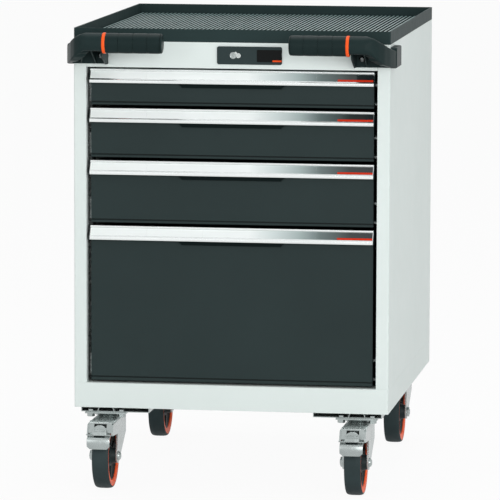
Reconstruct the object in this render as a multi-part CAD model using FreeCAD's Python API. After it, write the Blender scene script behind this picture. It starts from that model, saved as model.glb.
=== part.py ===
"""Rolling tool cabinet: sheet-steel carcass, ball-runner drawers, tray top, push handles, casters.

Millimetres, +Z up, front towards -Y. The origin is on the floor, under the middle of the overall box.
While it is modelled, y = 0 is the plane of the carcass front, and z = 0 is the underside of the carcass.
"""
import FreeCAD, Part
import math
import os

Vector = FreeCAD.Vector

# Carcass
body_width = 605.0
body_depth = 725.0
body_height = 703.0
sheet = 1.5                     # folded steel sheet
base_pan_height = 48.0          # height of the pan below the side seams
sill_depth = 50.0               # ledge that shows under the lowest drawer
pan_flange = 22.0               # inward flange round the rest of the pan
stile_width = 24.0              # front face of each side panel
stile_return = 22.0             # inward fold behind that face
rear_flange = 20.0
corner_radius = 3.0
header_height = 49.5            # front header, from its lower edge up to the tray
header_return = 20.0
panel_seam = 0.3                # seam between sheets that lie side by side
past = 1.0                      # a cut runs this far past a surface, and a root this far into it
touching = 0.01                 # points closer than this are one place

# Tray and mat on top
tray_height = 24.5
tray_wall = 3.0
tray_floor = 3.0
mat_thickness = 3.0
mat_gap = 1.0

# Drawers, from the top
front_units = (3, 4, 5, 12)     # shares of the stack's height, one 25 mm grid step each
header_gap = 1.5                # from the header down to the stack of fronts
sill_gap = 4.0                  # from the stack down to the base pan
front_gap = 3.5                 # open line between two fronts
front_side_gap = 7.5            # between a front and the stile beside it
front_recess = 9.0              # drawer fronts stand this far behind the carcass front
front_return = 15.0             # folded edges of a drawer front
groove_rise = 8.0               # pressed groove above the lower edge of a front
groove_height = 3.0
groove_depth = 1.2
box_length = 650.0
box_setback = 1.0               # from the back of the front's folded edges to the start of that length
box_lift = 9.0                  # drawer floor above the lower edge of its front
box_top_drop = 21.0             # drawer side below the upper edge of its front
box_lip = 8.0                   # rolled top edge of a drawer side

# Handle rail and catch bar on each drawer front
rail_cap = 1.5                  # thin end cap at each end of the rail
rail_height = 27.0
rail_reach = 14.0               # lip in front of the drawer front
rail_crest = 3.5                # thickness of the top edge
rail_bead = 1.0                 # rounding along the crest and the lip
rail_wall = 2.0
label_slope_foot = 19.0         # foot of the label face, below the top edge
catch_width = 202.0
catch_thickness = 4.0
catch_gap = 0.5                 # between the catch bar and the back of the rail
catch_drop = 3.5                # part of the catch bar that shows below the rail
catch_lap = 6.0                 # part that is hidden in the rail
catch_slant = 4.0

# Runners
runner_length = 650.0
runner_front = 30.0
runner_wall = 1.5
runner_height = 40.0
runner_depth = 14.0
runner_gap = 0.5                # clear space between one member and the next
runner_space = 23.0             # from an upright to the drawer side
runner_rise = 29.0              # runner centre above the lower edge of the drawer front
post_setback = 0.5              # from the stile's edge to the post's inner face
post_depth = 40.0
post_places = (60.0, 600.0)     # front face of each upright

# Lock
fascia_left = -27.0
fascia_right = 97.0
fascia_drop = 7.0               # from the tray's foot down to the fascia
fascia_height = 34.0
fascia_thickness = 3.0
fascia_corner = 4.0
lock_x = 4.0
lock_drop = 24.0                # from the tray's foot down to the lock's axis
lock_bore = 5.1
lock_body_width = 15.0          # square barrel moulded behind the fascia
lock_body_clearance = 0.2
lock_body_length = 26.0         # behind the plane of the carcass front
rotor_clearance = 0.08
rotor_proud = 0.6
keyhole_width = 1.2
keyhole_height = 6.0
keyhole_depth = 5.0
cam_thickness = 2.5
cam_length = 18.0
cam_gap = 0.5                   # between the barrel and the cam
cover_radius = 4.7
cover_thickness = 1.0
cover_arm = 7.1                 # pivot of the dust cover to the middle of its disc
cover_arm_width = 4.0
cover_post_radius = 1.7
cover_lift = 0.3
cover_seat = 0.1                # between the post and the fascia

# Push handles
grip_radius = 19.0
grip_axis_reach = 68.0          # grip axis in front of the carcass front
grip_axis_rise = 1.0            # grip axis above the tray's foot
grip_inset = 74.5               # from the carcass side to the ring's inner face
grip_length = 108.0
grip_end_bevel = 2.5
ring_width = 6.0
ring_proud = 0.6
tenon_width = 20.0              # square core of the arm, so that ring and grip can't turn
tenon_length = 80.0
tenon_clearance = 0.1
elbow_inset = 38.5              # from the carcass side to the start of the elbow
elbow_radius = 16.0             # of the bend, at the middle of the arm
elbow_turns = (0, 20, 40, 62)   # degrees round the bend at which the arm's section is set
elbow_top_drops = (0.0, 1.0, 4.0, 9.0, 28.0)    # upper edge at each section, below the grip's top
elbow_foot_drops = (0.0, 0.0, 0.5, 3.5, 26.0)   # lower edge at each section, below the grip's foot
elbow_half_depths = (19.0, 16.5, 13.5, 11.0, 6.25)
elbow_corners = (18.2, 15.0, 11.0, 7.0, 3.0)    # corner radius of each section
elbow_corner_chords = 4         # chords round each corner
handle_side_thickness = 12.5    # part of the arm that stands beside the carcass
side_plate_length = 72.0
side_plate_drop = 6.0           # from the tray's foot down to the side plate's top
side_plate_chamfer = 5.0        # along its outer top edge
side_plate_corner = 7.0         # cut off each rear corner
handle_plate_width = 66.5
handle_plate_drop = 43.0        # from the tray's foot down to the bracket's lower edge
handle_plate_thickness = 4.0
handle_roof_drop = 8.0          # roof web below the grip axis
handle_web = 3.0
end_wall_toe = 16.0             # height of the end wall under the tube
end_wall_foot = 20.0            # reach of its lower edge
rib_insets = (44.5, 15.5)       # from the carcass side to each rib
rib_leans = (0.0, 15.0)         # how far each rib turns inward on its way to the grip
rib_shortfall = (6.0, 8.0)      # each rib ends this far behind the grip axis
rib_toe = 6.0                   # height of each rib's front end

# Casters
caster_height = 155.0           # floor to the underside of the carcass
wheel_radius = 62.5
wheel_width = 32.0
rim_radius = 49.0
rim_flat_count = 24             # flats that key the moulded tyre on the rim
rim_width = 20.0
hub_radius = 12.0
hub_flat_count = 12             # the hub is moulded with flats as well
hub_width = 42.0
axle_radius = 5.0
axle_clearance = 0.08
axle_neck = 10.0                # square neck that stops the axle from turning
axle_neck_clearance = 0.1
axle_head = 5.0
axle_head_across = 17.0
caster_inset = 60.5             # from the carcass side to the swivel axis
caster_plate_length = 90.0
caster_plate_width = 80.0
caster_plate_thickness = 3.0
caster_trail = 45.0
channel_height = 9.0
channel_width = 132.0
channel_offset = 18.0           # channel centre inward of the caster
channel_setback = 5.0
channel_rib_top = 25.0
channel_rib_foot = 31.0
bolt_spacing_x = 60.0
bolt_spacing_y = 70.0
bolt_neck = 8.0
nut_across = 13.0
nut_height = 6.5
bolt_rise = 3.0                 # welded end of a stud, above the floor of the channel
race_height = 7.0               # ball race between plate and fork
race_radius = 28.0
race_gap = 0.4
fork_wall = 3.0
fork_inner_width = 43.0
fork_rear = 31.0                # fork behind the swivel axis
fork_front = 52.0               # fork in front of the swivel axis
fork_shoulder = 30.0            # depth of the straight upper part of an arm
boss_radius = 14.0
boss_chords = 8                 # chords along the boss of a fork arm
cheek_reach = 107.0             # brake cheeks in front of the swivel axis
cheek_shoulder = 95.0
cheek_depth = 26.0
cheek_corner = 4.0
brake_plate_foot = 18.5         # foot of the sloping plate below the crown
window_width = 24.0
window_height = 11.0
window_drop = 4.0

# Brake pedal on the front casters, measured from the swivel axis and from the underside of the carcass
pedal_pin_reach = 69.0
pedal_pin_drop = 28.5
pedal_pin_radius = 2.5
pedal_pin_clearance = 0.3
pedal_sheet = 2.0
pedal_lever_width = 40.0
pedal_knee_reach = 112.0
pedal_knee_drop = 44.0
pedal_toe_reach = 125.0
pedal_toe_top = 49.0
pedal_toe_bottom = 68.5
pedal_toe_width = 44.0
pedal_toe_corner = 7.0
pedal_wing_width = 52.0
pedal_wing_length = 5.0

# Worked out from the sizes above
half_width = body_width / 2
front_width = body_width - 2 * (stile_width + front_side_gap)
header_bottom = body_height - header_height
stack_top = header_bottom - header_gap
grid_step = (stack_top - base_pan_height - sill_gap) / sum(front_units)
front_pitches = [units * grid_step for units in front_units]
fascia_top = body_height - fascia_drop
fascia_bottom = fascia_top - fascia_height
lock_z = body_height - lock_drop
grip_axis_height = body_height + grip_axis_rise
handle_plate_bottom = body_height - handle_plate_drop
post_inner = half_width - stile_width - post_setback
box_width = 2 * (post_inner - runner_space)
grip_outer_end = half_width - grip_inset
grip_inner_end = grip_outer_end - grip_length
elbow_start = half_width - elbow_inset
handle_plate_inner = half_width - handle_plate_width
rib_places = [half_width - inset for inset in rib_insets]
caster_x = half_width - caster_inset
grip_front = grip_axis_reach + grip_radius + ring_proud
overall_depth = body_depth + grip_front
front_plane = grip_front - overall_depth / 2
front_pivot = caster_plate_length / 2
rear_pivot = body_depth - caster_plate_length / 2
plate_top = -channel_height
plate_bottom = plate_top - caster_plate_thickness
fork_top = plate_bottom - race_height
axle_z = wheel_radius - caster_height
tray_top = body_height + tray_height


def box(x0, x1, y0, y1, z0, z1):
    return Part.makeBox(x1 - x0, y1 - y0, z1 - z0, Vector(x0, y0, z0))


def face(points):
    return Part.Face(Part.makePolygon(points + [points[0]]))


def prism_x(outline, x0, x1):
    """Solid with a (y, z) outline, from x0 to x1."""
    return face([Vector(x0, y, z) for y, z in outline]).extrude(Vector(x1 - x0, 0, 0))


def prism_y(outline, y0, y1):
    """Solid with an (x, z) outline, from y0 to y1."""
    return face([Vector(x, y0, z) for x, z in outline]).extrude(Vector(0, y1 - y0, 0))


def prism_z(outline, z0, z1):
    """Solid with an (x, y) outline, from z0 to z1."""
    return face([Vector(x, y, z0) for x, y in outline]).extrude(Vector(0, 0, z1 - z0))


def rod_x(radius, x0, x1, y, z):
    return Part.makeCylinder(radius, x1 - x0, Vector(x0, y, z), Vector(1, 0, 0))


def rod_y(radius, y0, y1, x, z):
    return Part.makeCylinder(radius, y1 - y0, Vector(x, y0, z), Vector(0, 1, 0))


def rod_z(radius, z0, z1, x, y):
    return Part.makeCylinder(radius, z1 - z0, Vector(x, y, z0), Vector(0, 0, 1))


def ring_points(count, radius, u, v):
    """Corners of a regular polygon round (u, v)."""
    turns = [2 * math.pi * i / count for i in range(count)]
    return [(u + radius * math.cos(a), v + radius * math.sin(a)) for a in turns]


def hexagon_points(across, u, v):
    return ring_points(6, across / math.sqrt(3), u, v)


def revolve_x(outline, y, z):
    """Ring with an (x, radius) outline, turned about the line through (y, z) along X."""
    section = face([Vector(x, y, z + r) for x, r in outline])
    return section.revolve(Vector(0, y, z), Vector(1, 0, 0), 360)


def mirrored(shape):
    return shape.mirror(Vector(0, 0, 0), Vector(1, 0, 0))


def round_upright_edges(shape, radius, places):
    """Round the upright edges that stand at the given (x, y) places."""
    chosen = []
    for edge in shape.Edges:
        a = edge.Vertexes[0].Point
        b = edge.Vertexes[-1].Point
        if abs(a.x - b.x) + abs(a.y - b.y) > touching or abs(a.z - b.z) < past:
            continue
        if any(math.hypot(a.x - x, a.y - y) < touching for x, y in places):
            chosen.append(edge)
    return shape.makeFillet(radius, chosen)


# Carcass

def side_panel():
    """Right side: outer wall, front stile with its return, and rear flange, folded from one sheet."""
    edge = half_width - stile_width
    outline = [
        (edge, 0), (half_width, 0), (half_width, body_depth), (half_width - rear_flange, body_depth),
        (half_width - rear_flange, body_depth - sheet), (half_width - sheet, body_depth - sheet),
        (half_width - sheet, sheet), (edge + sheet, sheet), (edge + sheet, stile_return),
        (edge, stile_return),
    ]
    panel = prism_z(outline, base_pan_height, body_height)
    outer = [(half_width, 0), (half_width, body_depth)]
    panel = round_upright_edges(panel, corner_radius, outer)
    inside = half_width - sheet
    deck_room = box(0, inside, sheet, body_depth - sheet, body_height - sheet - panel_seam, body_height + past)
    return panel.cut(deck_room)


def rear_panel():
    reach = half_width - sheet - panel_seam
    far = body_depth - sheet
    return box(-reach, reach, far - sheet, far, base_pan_height, body_height - sheet)


def top_panel():
    """Deck under the tray, with the front header and its lower return folded from the same sheet."""
    reach = half_width - sheet
    deck = box(-reach, reach, sheet, body_depth - sheet, body_height - sheet, body_height)
    edge = half_width - stile_width - panel_seam
    header = box(-edge, edge, 0, sheet, header_bottom, body_height)
    inner = edge - sheet - panel_seam
    lower = box(-inner, inner, sheet, header_return, header_bottom, header_bottom + sheet)
    panel = deck.fuse([header, lower]).removeSplitter()
    half = lock_body_width / 2 + lock_body_clearance
    return panel.cut(box(lock_x - half, lock_x + half, -past, sheet + past, lock_z - half, lock_z + half))


def base_pan():
    """Pan with an inward flange round its rim; the front flange is the sill under the drawers."""
    pan = box(-half_width, half_width, 0, body_depth, 0, base_pan_height)
    corners = [(x, y) for x in (-half_width, half_width) for y in (0, body_depth)]
    pan = round_upright_edges(pan, corner_radius, corners)
    inside = half_width - sheet
    pan = pan.cut(box(-inside, inside, sheet, body_depth - sheet, sheet, base_pan_height - sheet))
    mouth = half_width - pan_flange
    return pan.cut(box(-mouth, mouth, sill_depth, body_depth - pan_flange, sheet, base_pan_height + past))


def top_tray():
    tray = box(-half_width, half_width, 0, body_depth, body_height, tray_top)
    corners = [(x, y) for x in (-half_width, half_width) for y in (0, body_depth)]
    tray = round_upright_edges(tray, corner_radius, corners)
    inside = half_width - tray_wall
    pocket = box(-inside, inside, tray_wall, body_depth - tray_wall, body_height + tray_floor, tray_top + past)
    return tray.cut(pocket)


def tray_mat():
    reach = half_width - tray_wall - mat_gap
    near = tray_wall + mat_gap
    far = body_depth - tray_wall - mat_gap
    floor = body_height + tray_floor
    return box(-reach, reach, near, far, floor, floor + mat_thickness)


def uprights():
    """Four channel-section posts that carry the runners, from the pan to the deck."""
    posts = []
    outer = half_width - sheet
    for near in post_places:
        far = near + post_depth
        outline = [
            (outer, far), (outer, far - sheet), (post_inner + sheet, far - sheet),
            (post_inner + sheet, near + sheet), (outer, near + sheet), (outer, near),
            (post_inner, near), (post_inner, far),
        ]
        post = prism_z(outline, base_pan_height, body_height - sheet)
        posts += [post, mirrored(post)]
    return Part.makeCompound(posts)


# Drawers

def front_bottoms():
    """Lower edge of each drawer front, from the top drawer down."""
    edges = []
    top = stack_top
    for pitch in front_pitches:
        top -= pitch
        edges.append(top)
    return edges


def channel(x_web, x_lip, height, wall, z):
    """C-section runner member: web at x_web, flanges out to x_lip, along the runner's whole length."""
    inward = 1 if x_lip > x_web else -1
    outline = [
        (x_web, z - height / 2), (x_lip, z - height / 2), (x_lip, z - height / 2 + wall),
        (x_web + inward * wall, z - height / 2 + wall), (x_web + inward * wall, z + height / 2 - wall),
        (x_lip, z + height / 2 - wall), (x_lip, z + height / 2), (x_web, z + height / 2),
    ]
    return prism_y(outline, runner_front, runner_front + runner_length)


def cabinet_rail(z):
    return channel(post_inner, post_inner - runner_depth, runner_height, runner_wall, z)


def middle_rail(z):
    web = post_inner - runner_wall - runner_gap
    height = runner_height - 2 * runner_wall - 2 * runner_gap
    return channel(web, web - runner_depth, height, runner_wall, z)


def drawer_rail(z):
    tip = post_inner - 2 * (runner_wall + runner_gap)
    height = runner_height - 4 * runner_wall - 4 * runner_gap
    return channel(box_width / 2, tip, height, runner_wall, z)


def paired(shape):
    return [shape, mirrored(shape)]


def drawer_box(bottom, pitch):
    """Open-topped box with an inward lip along its sides, and the runner member on each side."""
    half = box_width / 2
    near = front_recess + front_return + box_setback
    far = near + box_length
    floor = bottom + box_lift
    top = bottom + pitch - box_top_drop
    near_wall = front_recess + sheet
    shell = box(-half, half, near_wall, far, floor, top)
    inside = half - sheet
    mouth = half - box_lip
    for reach, ceiling in ((inside, top - sheet), (mouth, top + past)):
        shell = shell.cut(box(-reach, reach, near_wall + sheet, far - sheet, floor + sheet, ceiling))
    members = paired(drawer_rail(bottom + runner_rise))
    return shell.fuse(members).removeSplitter()


def drawer_front(bottom, pitch):
    """Folded front panel: returns on all four edges and a groove pressed above the lower edge."""
    half = front_width / 2
    near = front_recess
    far = front_recess + front_return
    top = bottom + pitch - front_gap
    panel = box(-half, half, near, far, bottom, top)
    panel = panel.cut(box(-half + sheet, half - sheet, near + sheet, far + past, bottom + sheet, top - sheet))
    foot = bottom + groove_rise
    groove = [(near - past, foot - groove_depth), (near, foot), (near + groove_depth, foot + groove_depth),
              (near + groove_depth, foot + groove_height), (near, foot + groove_height),
              (near - past, foot + groove_height)]
    return panel.cut(prism_x(groove, -half - past, half + past))


def rail_face(top):
    """Front of the rail from its crest to its lip, as (y, z) points; label face in between."""
    crest = front_recess - rail_crest - rail_bead
    lip = front_recess - rail_reach
    foot = top - label_slope_foot
    base = top - rail_height
    return [
        (front_recess, top), (crest + rail_bead, top), (crest, top - rail_bead), (crest, top - rail_crest),
        (crest + 2 * rail_bead, top - rail_crest - rail_bead), (lip + rail_wall, foot),
        (lip, foot - rail_wall), (lip, base + rail_wall), (lip + rail_wall, base),
    ]


def handle_rail(top):
    """Extruded aluminium pull: crest, sloping label face, lip and the open hollow behind it."""
    back = front_recess
    lip = front_recess - rail_reach
    foot = top - label_slope_foot
    base = top - rail_height
    hollow = [
        (lip + 2 * rail_wall, base + rail_wall), (lip + 1.5 * rail_wall, foot - rail_wall),
        (back - rail_wall, top - rail_crest - 2 * rail_wall), (back - rail_wall, base + rail_wall),
        (back, base + rail_wall),
    ]
    half = front_width / 2 - rail_cap
    return prism_x(rail_face(top) + hollow, -half, half)


def rail_caps(top):
    """Moulded cap that closes each end of the pull."""
    outline = rail_face(top) + [(front_recess, top - rail_height)]
    half = front_width / 2
    return Part.makeCompound(paired(prism_x(outline, half - rail_cap, half)))


def catch_bar(top):
    """Release bar in the hollow of the rail, lifted by the fingers that pull the drawer."""
    far = front_recess - rail_wall - catch_gap
    near = far - catch_thickness
    shoulder = top - rail_height
    base = shoulder - catch_drop
    half = catch_width / 2
    outline = [(-half + catch_slant, base), (half - catch_slant, base), (half, shoulder),
               (half, shoulder + catch_lap), (-half, shoulder + catch_lap), (-half, shoulder)]
    return prism_y(outline, near, far)


# Lock

def lock_fascia():
    """Moulded plate on the header, with the square barrel that holds the rotor."""
    plate = box(fascia_left, fascia_right, -fascia_thickness, 0, fascia_bottom, fascia_top)
    edges = [edge for edge in plate.Edges if abs(edge.Vertexes[0].Point.y - edge.Vertexes[-1].Point.y) > 1]
    plate = plate.makeFillet(fascia_corner, edges)
    half = lock_body_width / 2
    barrel = box(lock_x - half, lock_x + half, -fascia_thickness, lock_body_length,
                 lock_z - half, lock_z + half)
    bore = rod_y(lock_bore, -fascia_thickness - past, lock_body_length + past, lock_x, lock_z)
    return plate.fuse(barrel).cut(bore)


def lock_rotor():
    """Plug with a keyhole at the front and the cam at the rear."""
    face_y = -fascia_thickness - rotor_proud
    radius = lock_bore - rotor_clearance
    cam_y = lock_body_length + cam_gap
    plug = rod_y(radius, face_y, cam_y, lock_x, lock_z)
    cam = box(lock_x - radius, lock_x + radius, cam_y, cam_y + cam_thickness,
              lock_z - cam_length, lock_z + radius)
    slot = box(lock_x - keyhole_width / 2, lock_x + keyhole_width / 2, face_y - past, face_y + keyhole_depth,
               lock_z - keyhole_height / 2, lock_z + keyhole_height / 2)
    return plug.fuse(cam).cut(slot)


def lock_cover():
    """Dust cover, swung aside: a disc on a short arm that turns about its post on the fascia."""
    step = cover_arm * math.sqrt(0.5)
    pivot_x = lock_x + step
    pivot_z = lock_z + step
    far = -fascia_thickness - rotor_proud - cover_lift
    near = far - cover_thickness
    disc = rod_y(cover_radius, near, far, pivot_x + step, lock_z)
    skew = cover_arm_width / 2 * math.sqrt(0.5)
    arm = [(pivot_x - 2 * skew, pivot_z), (pivot_x, pivot_z + 2 * skew),
           (pivot_x + step + skew, lock_z + skew), (pivot_x + step - skew, lock_z - skew)]
    post = rod_y(cover_post_radius, far, -fascia_thickness - cover_seat, pivot_x, pivot_z)
    return disc.fuse([prism_y(arm, near, far), post])


# Push handles

def arm_section(centre, outward, half_depth, half_height, radius):
    """Corners of an upright section across the arm: a rectangle with chords round its corners."""
    up = Vector(0, 0, 1)
    points = []
    for index, (sa, sb) in enumerate([(1, 1), (-1, 1), (-1, -1), (1, -1)]):
        for chord in range(elbow_corner_chords + 1):
            angle = math.radians(90 * (index + chord / elbow_corner_chords))
            across = sa * (half_depth - radius) + radius * math.cos(angle)
            along = sb * (half_height - radius) + radius * math.sin(angle)
            points.append(centre + outward * across + up * along)
    return points


def faceted_loft(sections):
    """Solid with flat facets between sections that have equally many corners."""
    facets = [face(sections[0]), face(sections[-1])]
    for near, far in zip(sections, sections[1:]):
        for i in range(len(near)):
            j = (i + 1) % len(near)
            facets.append(face([near[i], near[j], far[j]]))
            facets.append(face([near[i], far[j], far[i]]))
    solid = Part.Solid(Part.Shell(facets))
    if solid.Volume < 0:
        solid.reverse()
    return solid


def elbow_sections():
    """Middles and sections of the arm: round its bend, and where its straight run ends in the side plate."""
    places = []
    for turn in elbow_turns:
        angle = math.radians(turn)
        places.append((elbow_start + elbow_radius * math.sin(angle),
                       -grip_axis_reach + elbow_radius * (1 - math.cos(angle)), angle))
    depth = elbow_half_depths[-1]
    outer = half_width + handle_side_thickness
    places.append((outer - depth * math.sin(angle), depth * math.cos(angle), angle))
    middles = []
    sections = []
    drops = zip(elbow_top_drops, elbow_foot_drops)
    for (x, y, angle), (top, foot), depth, corner in zip(places, drops, elbow_half_depths, elbow_corners):
        middle = Vector(x, y, grip_axis_height - (top + foot) / 2)
        outward = Vector(math.sin(angle), -math.cos(angle), 0)
        half_height = grip_radius + (foot - top) / 2
        middles.append(middle)
        sections.append(arm_section(middle, outward, depth, half_height, corner))
    return middles, sections


def side_plate():
    """Part of the bracket beside the carcass, with its rear corners and its outer top edge cut off."""
    low = grip_axis_height - grip_radius - elbow_foot_drops[-1]
    high = body_height - side_plate_drop
    far = side_plate_length
    cut = side_plate_corner
    outline = [(0, low), (far - cut, low), (far, low + cut), (far, high - cut), (far - cut, high), (0, high)]
    outer = half_width + handle_side_thickness
    plate = prism_x(outline, half_width, outer)
    edges = []
    for edge in plate.Edges:
        ends = [vertex.Point for vertex in edge.Vertexes]
        if all(abs(p.x - outer) < touching and abs(p.z - high) < touching for p in ends):
            edges.append(edge)
    return plate.makeChamfer(side_plate_chamfer, edges)


def handle_arm():
    """Moulded corner bracket: tube at the grip, elbow that flattens into the side plate, webs and ribs."""
    middles, sections = elbow_sections()
    elbow = faceted_loft(sections)
    ring_outer = grip_outer_end + ring_width
    tube = face(sections[0]).extrude(Vector(ring_outer - elbow_start, 0, 0))
    half = tenon_width / 2
    tenon = box(ring_outer - tenon_length, ring_outer + past, -grip_axis_reach - half, -grip_axis_reach + half,
                grip_axis_height - half, grip_axis_height + half)

    roof_z = grip_axis_height - handle_roof_drop
    plate = box(handle_plate_inner, half_width + past, -handle_plate_thickness, 0, handle_plate_bottom, roof_z)
    roof_outline = [(p.x, p.y) for p in middles]
    roof_outline += [(handle_plate_inner, 0), (handle_plate_inner, -grip_axis_reach)]
    roof = prism_z(roof_outline, roof_z - handle_web, roof_z)

    def gusset(x, lean, foot_reach, top_reach, toe):
        outline = [(0, handle_plate_bottom), (0, roof_z - past), (-top_reach, roof_z - past),
                   (-top_reach, roof_z - toe), (-foot_reach, handle_plate_bottom)]
        wall = prism_x(outline, x - lean - past, x + handle_web + past)
        plan = [(x, 0), (x + handle_web, 0), (x + handle_web - lean, -top_reach), (x - lean, -top_reach)]
        return wall.common(prism_z(plan, handle_plate_bottom, roof_z))

    walls = [gusset(handle_plate_inner, 0, end_wall_foot, grip_axis_reach, end_wall_toe)]
    for x, lean, shortfall in zip(rib_places, rib_leans, rib_shortfall):
        walls.append(gusset(x, lean, handle_plate_thickness, grip_axis_reach - shortfall, rib_toe))

    arm = elbow.fuse([side_plate(), tube, tenon, plate, roof] + walls)
    return arm.cut(box(-half_width, half_width, 0, body_depth, 0, tray_top)).removeSplitter()


def grips():
    """Grip sleeve on each arm's tenon, with a bevelled free end."""
    end = grip_inner_end
    outline = [(end, 0), (end, grip_radius - grip_end_bevel), (end + grip_end_bevel, grip_radius),
               (grip_outer_end, grip_radius), (grip_outer_end, 0)]
    grip = revolve_x(outline, -grip_axis_reach, grip_axis_height)
    pocket = grip_outer_end + ring_width - tenon_length - tenon_clearance
    return Part.makeCompound(paired(grip.cut(tenon_hole(pocket, grip_outer_end + past))))


def tenon_hole(x0, x1):
    half = tenon_width / 2 + tenon_clearance
    return box(x0, x1, -grip_axis_reach - half, -grip_axis_reach + half,
               grip_axis_height - half, grip_axis_height + half)


def grip_rings():
    end = grip_outer_end + ring_width
    ring = rod_x(grip_radius + ring_proud, grip_outer_end, end, -grip_axis_reach, grip_axis_height)
    return Part.makeCompound(paired(ring.cut(tenon_hole(grip_outer_end - past, end + past))))


# Casters

def caster_places():
    """Name, x, y of the swivel axis and whether the caster has a brake."""
    return [
        ("front_left", -caster_x, front_pivot, True),
        ("front_right", caster_x, front_pivot, True),
        ("rear_left", -caster_x, rear_pivot, False),
        ("rear_right", caster_x, rear_pivot, False),
    ]


def bolt_places():
    places = []
    for name, x, y, braked in caster_places():
        for sx in (-1, 1):
            for sy in (-1, 1):
                places.append((x + sx * bolt_spacing_x / 2, y + sy * bolt_spacing_y / 2))
    return places


def caster_channels():
    """Shallow channel along each side of the underside, with the rib that stiffens it over the casters."""
    middle = caster_x - channel_offset
    left = middle - channel_width / 2
    right = middle + channel_width / 2
    floor = plate_top
    near = channel_setback
    far = body_depth - channel_setback
    base = box(left, right, near, far, floor, floor + sheet)
    walls = [box(left, left + sheet, near, far, floor, 0), box(right - sheet, right, near, far, floor, 0)]
    webs = []
    for side in (-1, 1):
        foot = caster_x + side * channel_rib_foot / 2
        top = caster_x + side * channel_rib_top / 2
        outline = [(foot, floor), (foot + side * sheet, floor), (top + side * sheet, 0), (top, 0)]
        webs.append(prism_y(outline, near, far))
    shape = base.fuse(walls + webs).removeSplitter()
    half = bolt_neck / 2
    for x, y in bolt_places():
        if x > 0:
            shape = shape.cut(box(x - half, x + half, y - half, y + half, floor - past, floor + sheet + past))
    return Part.makeCompound(paired(shape))


def caster_plates():
    """Top plate of each caster, with the ball race that the fork turns under."""
    plates = []
    half_x = caster_plate_width / 2
    half_y = caster_plate_length / 2
    neck = bolt_neck / 2
    for name, x, y, braked in caster_places():
        plate = box(x - half_x, x + half_x, y - half_y, y + half_y, plate_bottom, plate_top)
        for bx, by in bolt_places():
            if math.hypot(bx - x, by - y) < caster_plate_length:
                plate = plate.cut(box(bx - neck, bx + neck, by - neck, by + neck,
                                      plate_bottom - past, plate_top + past))
        plates.append(plate.fuse(rod_z(race_radius, fork_top + race_gap, plate_bottom, x, y)))
    return Part.makeCompound(plates)


def caster_bolts():
    """Square studs that are welded into the channels, with their nuts under the plates."""
    bolts = []
    half = bolt_neck / 2
    top = plate_top + sheet + bolt_rise
    for x, y in bolt_places():
        stud = box(x - half, x + half, y - half, y + half, plate_bottom, top)
        nut = prism_z(hexagon_points(nut_across, x, y), plate_bottom - nut_height, plate_bottom)
        bolts.append(stud.fuse(nut))
    return Part.makeCompound(bolts)


def fork_outline(pivot_y, braked):
    """Side view of a fork arm: straight upper part, then tapering to the axle boss; (y, z) points."""
    axle_y = pivot_y - caster_trail
    bottom = fork_top - fork_shoulder
    rear = pivot_y + fork_rear
    front = pivot_y - fork_front

    def tangent(from_y, side):
        gap_y = from_y - axle_y
        gap_z = bottom - axle_z
        swing = math.acos(boss_radius / math.hypot(gap_y, gap_z))
        return math.atan2(gap_z, gap_y) + side * swing

    rear_angle = tangent(rear, -1)
    front_angle = tangent(front, 1) - 2 * math.pi
    boss = []
    for chord in range(boss_chords + 1):
        angle = rear_angle + (front_angle - rear_angle) * chord / boss_chords
        boss.append((axle_y + boss_radius * math.cos(angle), axle_z + boss_radius * math.sin(angle)))
    if not braked:
        return [(front, fork_top), (rear, fork_top), (rear, bottom)] + boss + [(front, bottom)]
    low = fork_top - cheek_depth
    toe = pivot_y - cheek_reach
    outline = [(pivot_y - cheek_shoulder, fork_top), (rear, fork_top), (rear, bottom)] + boss
    return outline + [(front, low - cheek_corner), (toe, low), (toe, low + cheek_corner)]


def caster_fork(x, y, braked):
    """Pressed fork: crown and two arms; a braked one has cheeks, a sloping plate and the pedal's pin."""
    inner = fork_inner_width / 2
    outer = inner + fork_wall
    hollow = box(x - inner, x + inner, y - cheek_reach - past, y + fork_rear + past,
                 axle_z - 2 * boss_radius, fork_top - fork_wall)
    fork = prism_x(fork_outline(y, braked), x - outer, x + outer).cut(hollow)
    if braked:
        foot = fork_top - brake_plate_foot
        shoulder = y - cheek_shoulder
        run = (cheek_reach - cheek_shoulder) * brake_plate_foot / (cheek_depth - cheek_corner)
        toe = shoulder - run
        slope = [(shoulder, fork_top), (shoulder + fork_wall, fork_top),
                 (toe + fork_wall, foot), (toe, foot)]
        top = fork_top - window_drop
        window = box(x - window_width / 2, x + window_width / 2, toe - past, shoulder + fork_wall + past,
                     top - window_height, top)
        pin = rod_x(pedal_pin_radius, x - inner - past, x + inner + past, y - pedal_pin_reach, -pedal_pin_drop)
        fork = fork.fuse([prism_x(slope, x - outer, x + outer).cut(window), pin])
    half = axle_neck / 2 + axle_neck_clearance
    axle_y = y - caster_trail
    neck = box(x - outer - past, x + outer + past, axle_y - half, axle_y + half, axle_z - half, axle_z + half)
    return fork.cut(neck).removeSplitter()


def caster_axle(x, y):
    """Bolt through the fork and the wheel: round shank, square neck in each arm, hexagonal head and nut."""
    inner = fork_inner_width / 2
    outer = inner + fork_wall
    axle_y = y - caster_trail
    half = axle_neck / 2
    ends = []
    for x0, x1 in ((x - outer, x - inner), (x + inner, x + outer)):
        ends.append(box(x0, x1, axle_y - half, axle_y + half, axle_z - half, axle_z + half))
    head = hexagon_points(axle_head_across, axle_y, axle_z)
    ends.append(prism_x(head, x - outer - axle_head, x - outer))
    ends.append(prism_x(head, x + outer, x + outer + axle_head))
    return rod_x(axle_radius, x - inner, x + inner, axle_y, axle_z).fuse(ends).removeSplitter()


def rim_outline(axle_y):
    return ring_points(rim_flat_count, rim_radius, axle_y, axle_z)


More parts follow.
